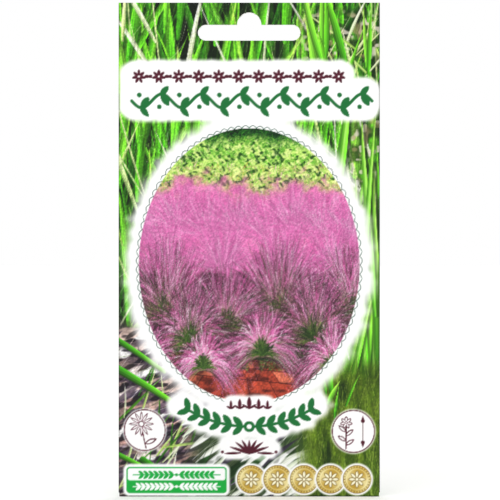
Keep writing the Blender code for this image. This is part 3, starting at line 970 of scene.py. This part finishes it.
def seal(page, x, d, radius):
    """A printed gold seal: milled rim, bright band, and a flower in the middle."""
    away = distance_from(x, d)
    shine = 0.5 + 0.5 * np.sin(2 * np.arctan2(PAGE_D - d, PAGE_X - x) + 0.8)
    glow(page, away, radius + 0.25, 0.7)
    for share, gold in ((1.0, 0), (0.95, 4), (0.80, 0), (0.77, 1), (0.70, 2)):
        disc(page, x, d, radius * share, GOLDS[gold])
    fill(page, GOLDS[3], away - radius * 0.95, 0.75 * shine)
    fill(page, GOLDS[2], away - radius * 0.7, 0.55 * (1 - shine))
    for turn in np.arange(28) * 2 * math.pi / 28:
        bead = (x + radius * 0.88 * math.cos(turn), d + radius * 0.88 * math.sin(turn))
        disc(page, *bead, radius * 0.045, GOLDS[0])
    petal_ring(page, x, d, 8, radius * 0.14, radius * 0.46, radius * 0.13, GOLDS[0])
    petal_ring(page, x, d, 8, radius * 0.16, radius * 0.40, radius * 0.085, GOLDS[5])
    disc(page, x, d, radius * 0.14, GOLDS[0])
    disc(page, x, d, radius * 0.10, GOLDS[5])


for k in range(SEALS):
    seal(front_page, 0.6 + SEAL_PITCH * k, 146.0, 4.35)
print("plate and", SEALS, "seals drawn")

# %% [markdown]
# ## Painted fold shade
#
# A packet's edge, where the paper turns away from the light over the fold, shows as a fine darker line. It is
# painted into the print as a narrow shade along the two sides and the foot.

# %% Painted fold shade
PRESS_GAIN = 1.12
# Painted shade: the print is darkened in a narrow band along both sides and the foot, where the fold turns
# from the light.
edge = np.minimum(WIDTH / 2 - np.abs(PAGE_X), HEIGHT - PAGE_D)
front_page *= (1 - 0.30 * (1 - smooth_step(0.05, 0.40, edge)))[..., None]
front_page = np.clip(front_page, 0, 1) ** PRESS_GAIN
print("front page finished")

# %% [markdown]
# ## The back of the packet
#
# The back is plainer: a green border, a pale panel, rows of thin bars where a packet gives its sowing
# advice, and a strip of twelve cells for the months. It is drawn as the reader sees it from behind. A soft
# painted shade lies along the two side folds and beside the seam's cut edge, where the folds and the seam's
# step fall in shade.

# %% Back page
BORDER_GREEN = (("#256B2B", "#3C8F3A"), ("#2B7730", "#4BA045"), ("#1F6126", "#358A38"))
GREY_INK = "#4A4F4A"
SOWING, FLOWERING = (2, 3, 4), (7, 8, 9)
PICTURE_D = 103.0
PICTURE_X = (-24.0, -8.0, 8.0, 24.0)


def text_bars(page, rng, d_low, rows, low=-32, high=32, pitch=2.5):
    """Rows of thin bars of random lengths, the last row short, as a paragraph looks from afar."""
    for k in range(rows):
        d = d_low + pitch * k
        x = low
        while x < high - 2:
            end = min(x + rng.uniform(3, 11), high)
            if k == rows - 1 and x > low + 0.55 * (high - low):
                break
            stroke(page, [(x, d), (end, d)], 0.28, GREY_INK)
            x = end + 1.3


back_page = new_page("#2E7D32")
back_rng = np.random.default_rng(91)
border = (-44, 44, 10, 165)
blade_bed(back_page, back_rng, 240, border, (14, 40), (3, 14), (0.4, 1.2), BORDER_GREEN, 0.12, 0.8)
fill(back_page, "#FBFAF4", box_distance(-36.0, 36.0, 18.5, 136.0, 2.5))
daisy_row(back_page, -30.0, 30.0, 24.4, 3.4, MAROON_INK, 5.0)
vine(back_page, -31.0, 31.0, 32.0, 5.6, GREEN_INK)
for d_low, rows in ((40.5, 9), (66.0, 7)):
    text_bars(back_page, back_rng, d_low, rows)
for k in range(12):
    x = -31.0 + 5.2 * k
    tone = "#7CC142" if k in SOWING else "#E48AB8" if k in FLOWERING else "#E4E6DC"
    fill(back_page, tone, box_distance(x, x + 4.8, 86.5, 93.0, 0.5))
sun_x, drop_x, plant_x, rows_x = PICTURE_X
for x in PICTURE_X:
    ring(back_page, x, PICTURE_D, 5.4, 0.2, GREEN_INK)
disc(back_page, sun_x, PICTURE_D, 1.7, GREEN_INK)
petal_ring(back_page, sun_x, PICTURE_D, 10, 2.2, 1.6, 0.22, GREEN_INK)
drop = [(drop_x, PICTURE_D + down) for down in (-3.4, -1.0, 1.0)]
stroke(back_page, drop, [0.1, 1.0, 1.9], GREEN_INK)
for lean in (-32, 0, 32):
    leaf(back_page, (plant_x, PICTURE_D + 3.4), 6.2, lean, 0.6, GREEN_INK)
for d in (PICTURE_D - 2.4, PICTURE_D, PICTURE_D + 2.4):
    stroke(back_page, [(rows_x - 3.0, d), (rows_x + 3.0, d)], 0.3, GREEN_INK)
text_bars(back_page, back_rng, 113.0, 8)
# Painted shade: the back print is darkened beside the seam's cut edge and along the two side folds, standing
# in for their shading.
seam_shade = 0.30 * np.exp(-(((PAGE_X + SEAM_HALF_LAP + 0.2) / 0.25) ** 2))
fold_shade = 0.25 * (1 - smooth_step(0.05, 0.45, WIDTH / 2 - np.abs(PAGE_X)))
back_page = np.clip(back_page * (1 - seam_shade - fold_shade)[..., None], 0, 1)
print("back page finished")

# %% [markdown]
# ## Laying the print on the paper
#
# The print is a film of coating and ink that is 0.01 mm thick. It is a fine net of points over the folded
# sheet, each with the page's colour at that place. The net's points nearest the hang slot are pulled onto
# its edge, and the squares inside are left out, so the hole is cut clean through the print.

# %% Printed film meshes
FRONT_PITCH, BACK_PITCH, FLAP_PITCH = 0.25, 0.3, 0.5
PULL_REACH = 0.62 * FRONT_PITCH
SLOT_TRIM = 0.02
UV_MARGIN = 1.01


def read_page(page, x, d):
    """The page's colour at each place, smoothly between dots."""
    column = np.clip((x + WIDTH / 2) * DOTS - 0.5, 0, PAGE_SHAPE[1] - 1.001)
    row = np.clip(d * DOTS - 0.5, 0, PAGE_SHAPE[0] - 1.001)
    i, j = column.astype(int), row.astype(int)
    return blend(page, i, j, (column - i)[..., None], (row - j)[..., None])


def spaced(low, high, pitch):
    return np.linspace(low, high, max(int(math.ceil((high - low) / pitch)), 1) + 1)


def add_object(name, data):
    made = bpy.data.objects.new(name, data)
    bpy.context.scene.collection.objects.link(made)
    return made


def net_object(name, u, v, places, keep, colours=None):
    """An object of squares over a net of places in mm, measured from the packet's foot."""
    index = np.arange(u.size).reshape(u.shape)
    quads = np.stack([index[:-1, :-1], index[:-1, 1:], index[1:, 1:], index[1:, :-1]], -1)[keep]
    used, quads = np.unique(quads, return_inverse=True)
    quads = quads.reshape(-1, 4)
    mesh = bpy.data.meshes.new(name)
    mesh.vertices.add(len(used))
    mesh.vertices.foreach_set("co", ((places - (0, 0, HANG_HEIGHT)).reshape(-1, 3)[used] * MM).ravel())
    mesh.loops.add(quads.size)
    mesh.loops.foreach_set("vertex_index", quads.ravel())
    mesh.polygons.add(len(quads))
    mesh.polygons.foreach_set("loop_start", np.arange(0, quads.size, 4))
    mesh.update(calc_edges=True)
    mesh.validate()
    span = max(np.ptp(u[0]), np.ptp(v[:, 0])) * UV_MARGIN
    uvs = np.stack([(u - u[0, 0]) / span, (v - v[0, 0]) / span], -1)
    layer = mesh.uv_layers.new(name="OFBake")
    layer.data.foreach_set("uv", uvs.reshape(-1, 2)[used][quads.ravel()].ravel())
    if colours is not None:
        attribute = mesh.color_attributes.new("ink", "FLOAT_COLOR", "POINT")
        rgba = np.ones((len(used), 4))
        rgba[:, :3] = to_linear(colours.reshape(-1, 3)[used])
        attribute.data.foreach_set("color", rgba.ravel())
    mesh.polygons.foreach_set("use_smooth", np.ones(len(quads), dtype=bool))
    return add_object(name, mesh)


print("net pitch:", FRONT_PITCH, "mm in front,", BACK_PITCH, "mm behind")


# %% One piece of printed film
def printed_film(name, u_lines, v_lines, page, seen_from_behind):
    """One piece of the printed film, over these addresses of the blank."""
    u, v = np.meshgrid(u_lines, v_lines)
    for _ in range(2):
        x, _, z = folded(u, v)
        gap = slot_distance(x, z) - SLOT_TRIM
        near = np.abs(gap) < PULL_REACH
        step = 0.01
        gx = (slot_distance(x + step, z) - slot_distance(x - step, z)) / (2 * step)
        gz = (slot_distance(x, z + step) - slot_distance(x, z - step)) / (2 * step)
        way = np.where(np.abs(u) > BACK_U, -1.0, 1.0)
        u = u - np.where(near, gap * gx * way, 0.0)
        v = v - np.where(near, gap * gz, 0.0)
    x, _, z = folded(u, v)
    colours = read_page(page, -x if seen_from_behind else x, HEIGHT - z)
    gap = slot_distance(x, z)
    middle = (gap[:-1, :-1] + gap[:-1, 1:] + gap[1:, 1:] + gap[1:, :-1]) / 4
    return net_object(name, u, v, folded_outside(u, v, PAPER / 2 + INK_FILM), middle > SLOT_TRIM / 2, colours)


print("print lies", INK_FILM, "mm over the paper")

# %% Pieces of the print
half_fold = np.linspace(0, FOLD_LENGTH / 2, FOLD_STEPS // 2 + 1)[1:]
flat_u = spaced(-FLAT_HALF, FLAT_HALF, FRONT_PITCH)
front_u = np.concatenate([-FLAT_HALF - half_fold[::-1], flat_u, FLAT_HALF + half_fold])
foot_v = np.concatenate([
    np.linspace(-FLAP_ARC / 2, 0, FOLD_STEPS + 1)[:-1],
    spaced(0, BACK_V, FRONT_PITCH),
])
flap_v = np.concatenate([
    spaced(-FLAP_ARC - FLAP_HEIGHT, -FLAP_ARC, 0.6)[:-1],
    np.linspace(-FLAP_ARC, -FLAP_ARC / 2, FOLD_STEPS + 1),
])
left_u = np.concatenate([spaced(-SEAM_U - SEAM_HALF_LAP, -BACK_U, BACK_PITCH), half_fold - BACK_U])
right_u = np.concatenate([
    FLAT_HALF + FOLD_LENGTH / 2 + np.concatenate([[0], half_fold[:-1]]),
    spaced(BACK_U, SEAM_U - SEAM_HALF_LAP, BACK_PITCH),
])
back_v = spaced(BACK_V, FULL_V, BACK_PITCH)
films = [
    printed_film("front_print_upper", front_u, spaced(HALF_V, FULL_V, FRONT_PITCH), front_page, False),
    printed_film("front_print_lower", front_u, spaced(BACK_V, HALF_V, FRONT_PITCH), front_page, False),
    printed_film("front_print_foot", flat_u, foot_v, front_page, False),
    printed_film("back_print_left", left_u, back_v, back_page, True),
    printed_film("back_print_right", right_u, back_v, back_page, True),
    printed_film("bottom_flap_print", spaced(-FLAT_HALF, FLAT_HALF, FLAP_PITCH), flap_v, back_page, True),
]
print("printed film:", {film.name: len(film.data.polygons) for film in films})

# %% [markdown]
# ## The paper itself
#
# Under the ink is one sheet of 0.12 mm coated paper, white where it is cut. The net over the blank is
# thickened with a Solidify modifier and the slot is cut through all its layers with a Boolean, the way a
# punch cuts the real header after folding.


# %% Folded paper
def paper_lines():
    """Net lines, with one on each crease beside the swell, and close ones up the ramp to the seam."""
    fold = np.linspace(0, FOLD_LENGTH, FOLD_STEPS + 1)[1:-1]
    front = np.union1d(spaced(-FLAT_HALF, FLAT_HALF, 1.6), [-SWELL_HALF_WIDTH, SWELL_HALF_WIDTH])
    right = np.union1d(spaced(BACK_U, SEAM_U + SEAM_HALF_LAP, 1.6), [SEAM_U - SWELL_HALF_WIDTH])
    left = -np.union1d(right, SEAM_U + spaced(SEAM_RAMP_START, SEAM_RAMP_END, 0.3))[::-1]
    u = np.concatenate([left, -FLAT_HALF - fold[::-1], front, FLAT_HALF + fold, right])
    v = np.concatenate([
        spaced(-FLAP_ARC - FLAP_HEIGHT, -FLAP_ARC, 2.0)[:-1],
        np.linspace(-FLAP_ARC, 0, FOLD_STEPS + 1),
        spaced(BACK_V, FULL_V, 1.8),
    ])
    return u, v


u, v = np.meshgrid(*paper_lines())
u_middle = (u[:-1, :-1] + u[:-1, 1:]) / 2
v_middle = (v[:-1, :-1] + v[1:, :-1]) / 2
on_blank = (v_middle > BACK_V) | (np.abs(u_middle) < FLAT_HALF)
paper = net_object("folded_paper", u, v, np.stack(folded(u, v), -1), on_blank)
solid = paper.modifiers.new("thickness", "SOLIDIFY")
solid.thickness = PAPER * MM
solid.offset = 0
solid.use_even_offset = True
print("net of the blank:", u.shape)


# %% Punch the hang slot
def slot_punch():
    """A prism with the euro slot's outline, longer than the packet is thick."""
    middle = SLOT_MIDDLE - HANG_HEIGHT
    rise = math.asin((middle + SLOT_RADIUS + HUMP_RADIUS) / HUMP_RADIUS)
    reach = 3 * MM
    half_turn = np.linspace(-math.pi / 2, math.pi / 2, 17)
    hump = np.linspace(rise, math.pi - rise, 33)
    end = [(SLOT_STRAIGHT + SLOT_RADIUS * math.cos(a), SLOT_RADIUS * math.sin(a)) for a in half_turn]
    outline = [(x, middle + z) for x, z in end]
    outline += [(HUMP_RADIUS * math.cos(a), HUMP_RADIUS * (math.sin(a) - 1)) for a in hump]
    outline += [(-x, middle - z) for x, z in end]
    mesh = bpy.data.meshes.new("slot_punch")
    shape = bmesh.new()
    face = shape.faces.new([shape.verts.new((x * MM, -reach, z * MM)) for x, z in outline])
    moved = bmesh.ops.extrude_face_region(shape, geom=[face])["geom"]
    far_end = [part for part in moved if isinstance(part, bmesh.types.BMVert)]
    bmesh.ops.translate(shape, verts=far_end, vec=(0, 2 * reach, 0))
    bmesh.ops.recalc_face_normals(shape, faces=shape.faces)
    shape.to_mesh(mesh)
    shape.free()
    return add_object("slot_punch", mesh)


def apply_modifiers(obj):
    view = bpy.context.evaluated_depsgraph_get()
    mesh = bpy.data.meshes.new_from_object(obj.evaluated_get(view))
    obj.modifiers.clear()
    obj.data = mesh


punch = slot_punch()
cut = paper.modifiers.new("hang_slot", "BOOLEAN")
cut.operation = "DIFFERENCE"
cut.solver = "EXACT"
cut.object = punch
apply_modifiers(paper)
bpy.data.objects.remove(punch)
print("folded paper:", len(paper.data.polygons), "faces")

# %% [markdown]
# ## Materials
#
# One small function adds a node with its settings and its links. Every material below starts from what the
# real stuff is, with a typical roughness and IOR, and takes the size of its pattern from millimetres.


# %% Node helper
def set_inputs(tree, node, inputs):
    for socket, value in inputs.items():
        if isinstance(value, bpy.types.NodeSocket):
            tree.links.new(value, node.inputs[socket])
        else:
            node.inputs[socket].default_value = value


def add_node(tree, kind, inputs=None, **settings):
    made = tree.nodes.new(kind)
    for name, value in settings.items():
        setattr(made, name, value)
    set_inputs(tree, made, inputs or {})
    return made


def start_material(name):
    made = bpy.data.materials.new(name)
    made.use_nodes = True
    tree = made.node_tree
    place = add_node(tree, "ShaderNodeTexCoord").outputs["Object"]
    return made, tree, tree.nodes["Principled BSDF"], place


def lumps(size_mm, detail=2.0, roughness=0.5):
    """Settings of a noise whose lumps are about size_mm across."""
    return {"Scale": 1 / (size_mm * MM), "Detail": detail, "Roughness": roughness}


print("noise scale for lumps of 1 mm:", round(lumps(1.0)["Scale"]))

# %% [markdown]
# ### Coated art paper, offset printed and varnished
#
# Seed packets are printed on one-side coated paper and sealed with a thin varnish. The eye sees a soft sheen,
# colours that are slightly uneven at the size of a millimetre, and a faint orange peel where the fibres under
# the coating show. A real fibre is 0.02 mm thick, so the peel is drawn at 0.35 mm, which is as coarse as it
# needs to be to show. The colours are those painted above.

# %% Printed paper
printed, tree, shader, place = start_material("coated_paper_offset_printed")
painted = add_node(tree, "ShaderNodeVertexColor", layer_name="ink").outputs["Color"]
mottle = add_node(tree, "ShaderNodeTexNoise", {"Vector": place, **lumps(1.1, 3.0)}).outputs["Fac"]
uneven = add_node(tree, "ShaderNodeMapRange", {"Value": mottle, "To Min": 0.93, "To Max": 1.0})
factors = {0: painted, 1: uneven.outputs["Result"]}
toned = add_node(tree, "ShaderNodeVectorMath", factors, operation="MULTIPLY")
sheen = add_node(tree, "ShaderNodeTexNoise", {"Vector": place, **lumps(3.0)}).outputs["Fac"]
gloss = add_node(tree, "ShaderNodeMapRange", {"Value": sheen, "To Min": 0.34, "To Max": 0.46})
fibre = add_node(tree, "ShaderNodeTexNoise", {"Vector": place, **lumps(0.35, 4.0, 0.6)}).outputs["Fac"]
relief = add_node(tree, "ShaderNodeBump", {"Height": fibre, "Strength": 0.10, "Distance": 0.02 * MM})
set_inputs(tree, shader, {
    "Base Color": toned.outputs["Vector"],
    "Roughness": gloss.outputs["Result"],
    "Normal": relief.outputs["Normal"],
    "IOR": 1.47,
    "Specular IOR Level": 0.22,
})
for film in films:
    film.data.materials.append(printed)
print("printed paper made")

# %% [markdown]
# ### The paper's own white, dried glue, glassine and husks
#
# Inside the pouch and along every cut edge the paper is bare. Bleached pulp is a slightly warm white, rougher
# than the coating, with fibres about half a millimetre long. The glue is a cold paper glue that dries to a
# milky, slightly glossy film. The sachet is glassine, a smooth calendered paper that light shines through.
# The seed has a dry, ribbed, purplish-brown husk. All four are two close tones mixed by noise of a real size,
# so one function makes them.


# %% Bare paper and hidden materials
def two_toned(name, pattern, light, dark, finish, relief=0.0):
    """A material whose colour goes from light to dark with the pattern, raised by it where relief says."""
    made, tree, shader, place = start_material(name)
    mix = add_node(tree, "ShaderNodeTexNoise", {"Vector": place, **pattern}).outputs["Fac"]
    tones = {"Factor": mix, 6: linear_hex(light), 7: linear_hex(dark)}
    tint = add_node(tree, "ShaderNodeMix", tones, data_type="RGBA")
    set_inputs(tree, shader, {"Base Color": tint.outputs[2], **finish})
    if relief:
        bump = add_node(tree, "ShaderNodeBump", {"Height": mix, "Strength": relief, "Distance": 0.03 * MM})
        set_inputs(tree, shader, {"Normal": bump.outputs["Normal"]})
    return made


pulp, fibres = lumps(0.5, 4.0, 0.6), lumps(0.7, 4.0, 0.65)
bare = two_toned("bleached_paper_uncoated", pulp, "#F7F5EE", "#E6E2D6", {"Roughness": 0.75, "IOR": 1.5}, 0.3)
glue = two_toned("dried_paper_glue", lumps(0.8, 3.0), "#EDE6CF", "#D8CDAE", {"Roughness": 0.35})
clear = {"Roughness": 0.3, "Transmission Weight": 0.25}
glassine = two_toned("glassine_calendered", fibres, "#F1EFE6", "#DEDACB", clear, 0.2)
husk = two_toned("grass_seed_husk", lumps(0.25, 3.0), "#6B4A3E", "#B08E6C", {"Roughness": 0.65})

paper.data.materials.clear()
paper.data.materials.append(bare)
finished = 0
for name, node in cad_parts.items():
    if name != "packet_sheet":
        for slot in node.material_slots:
            slot.material = glue if "glue" in name else glassine if "sachet" in name else husk
            finished += 1
print("hidden pieces finished:", finished, "of", len(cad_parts) - 1)

# %% [markdown]
# ## Ride and replace
#
# The paper and its printed film stand for the one CAD sheet, and everything rides on the packet's only body.

# %% Ride
for piece in (paper, *films):
    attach(piece, "root")
    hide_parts("packet_sheet")
print("pieces riding:", [piece.name for piece in (paper, *films)])

# %% [markdown]
# ## Studio
#
# The photograph is a product shot on pure white. The world is white and lights everything evenly. One wide
# soft light from the upper left gives the paper its sheen, and a weaker one from behind lights the back. The
# floor is pale and plain and touches the packet's foot.

# %% Floor, world and lights
FLOOR_HALF = 8.0
floor_z = cad_box[0][2]
corners = [(x * FLOOR_HALF, y * FLOOR_HALF, floor_z) for x, y in ((-1, -1), (1, -1), (1, 1), (-1, 1))]
floor_mesh = bpy.data.meshes.new("floor")
floor_mesh.from_pydata(corners, [], [(0, 1, 2, 3)])
floor = add_object("floor", floor_mesh)
board, tree, shader, place = start_material("white_painted_board")
set_inputs(tree, shader, {"Base Color": linear_hex("#FAFAF8"), "Roughness": 0.8, "Specular IOR Level": 0.2})
floor_mesh.materials.append(board)

world = bpy.data.worlds.new("white_studio")
bpy.context.scene.world = world
world.use_nodes = True
world.node_tree.nodes["Background"].inputs["Color"].default_value = (1, 1, 1, 1)
world.node_tree.nodes["Background"].inputs["Strength"].default_value = 1.0


def soft_light(name, way, strength, spread_deg):
    """Light from a wide part of the sky, so its shadows have soft edges."""
    data = bpy.data.lights.new(name, "SUN")
    data.energy = strength
    data.angle = math.radians(spread_deg)
    made = add_object(name, data)
    made.rotation_euler = Vector([-part for part in way]).to_track_quat("-Z", "Y").to_euler()


soft_light("key_light", (-0.6, -0.8, 0.9), 0.40, 50)
soft_light("back_light", (0.5, 0.8, 0.9), 0.25, 50)
print("floor at z =", round(floor_z, 4))

# %% [markdown]
# ## Camera
#
# The camera looks straight at the front, as the photograph does. A long lens keeps the edges parallel. Its
# distance follows from the picture's scale: 500 dots cover 153 mm of packet.

# %% Camera
LENS, SENSOR = 135.0, 36.0
PICTURE_DOTS, DOTS_PER_MM = 500, 3.267
AIM_ASIDE, AIM_DOWN, FRONT_STANDS = 0.24, 0.15, 0.6
distance = PICTURE_DOTS / DOTS_PER_MM * MM * LENS / SENSOR
middle_z = (HEIGHT / 2 - HANG_HEIGHT) * MM
camera_data = bpy.data.cameras.new("camera")
camera_data.lens = LENS
camera_data.sensor_width = SENSOR
camera = add_object("camera", camera_data)
camera.location = (AIM_ASIDE * MM, -FRONT_STANDS * MM - distance, middle_z - AIM_DOWN * MM)
camera.rotation_euler = (math.pi / 2, 0, 0)
bpy.context.scene.camera = camera
bpy.context.scene.view_settings.view_transform = "Standard"
print("camera", round(distance, 3), "m away")
